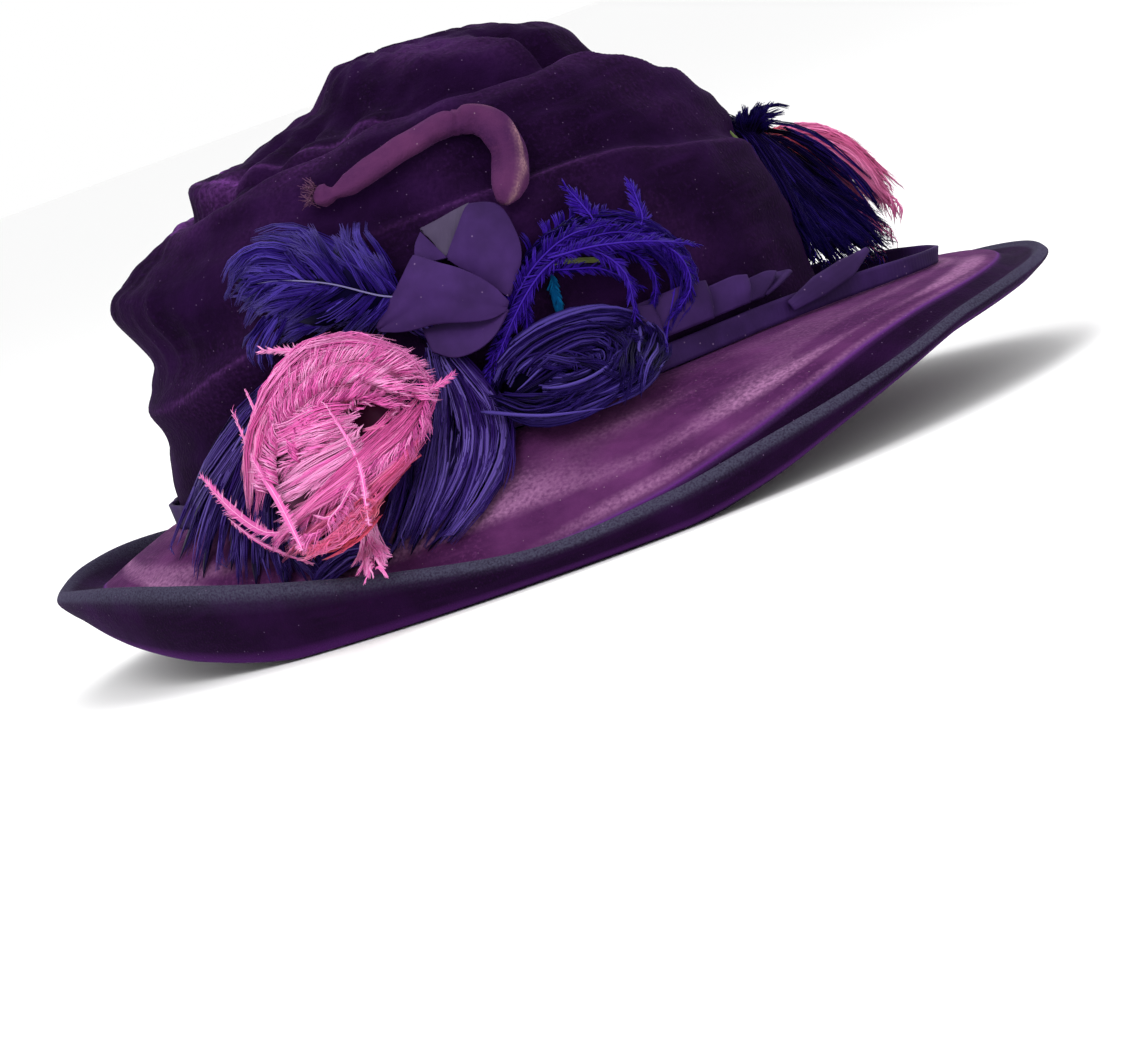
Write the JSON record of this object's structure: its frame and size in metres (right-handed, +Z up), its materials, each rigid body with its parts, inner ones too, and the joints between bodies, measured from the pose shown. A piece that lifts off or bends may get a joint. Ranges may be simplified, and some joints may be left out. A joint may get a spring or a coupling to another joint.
{
  "type": "cloche hat",
  "caption": "Draped velvet cloche with a rolled brim turned up at the back, trimmed with a velvet roll, ribbon bow and curled ostrich plumes.",
  "frame": {"origin": "on the supporting surface, under the middle of the brim", "axes": "+Z up with the hat resting on its brim, +X towards the wearer's front, -Y towards the wearer's right, which carries the trimming"},
  "size_m": [0.32, 0.2995, 0.1533],
  "materials": {
    "velvet_crown": "dark violet silk velvet, crushed nap with lighter purple sheen",
    "velvet_brim": "faded mauve velvet on top, dark purple velvet binding along the edge",
    "ribbon_band": "violet ribbon, faint rib, low sheen",
    "velvet_roll": "worn mauve velvet with pale rubbed ridge",
    "bow_back": "grey-lilac wrong side of the ribbon, matte",
    "bow_upper": "violet ribbon, low sheen",
    "bow_lower": "violet ribbon, low sheen",
    "arch_quill": "bare greenish feather stem, satin",
    "teal_tip": "teal feather, satin",
    "violet_coil": "dark violet ostrich strands, satin",
    "ribbon_ruffle": "violet ribbon, low sheen",
    "ribbon_tail": "violet ribbon, low sheen",
    "arch_plume": "vivid violet ostrich strands, satin",
    "violet_plume": "blue-violet ostrich strands, satin",
    "pink_rosette": "pink ostrich strands, coral towards the base, satin",
    "violet_fall_right": "blue-violet ostrich strands, satin",
    "violet_fall_back": "blue-violet ostrich strands, satin",
    "front_plume": "navy-violet ostrich strands, satin",
    "front_pink_tuft": "pink ostrich strands, satin"
  },
  "bodies": {
    "root": {"velvet_crown": "velvet_crown", "velvet_brim": "velvet_brim", "ribbon_band": "ribbon_band", "velvet_roll": "velvet_roll", "bow_back": "bow_back", "bow_upper": "bow_upper", "bow_lower": "bow_lower", "arch_quill": "arch_quill", "teal_tip": "teal_tip", "violet_coil": "violet_coil", "ribbon_ruffle": "ribbon_ruffle", "ribbon_tail": "ribbon_tail", "arch_plume": "arch_plume", "violet_plume": "violet_plume", "pink_rosette": "pink_rosette", "violet_fall_right": "violet_fall_right", "violet_fall_back": "violet_fall_back", "front_plume": "front_plume", "front_pink_tuft": "front_pink_tuft"}
  },
  "joints": []
}
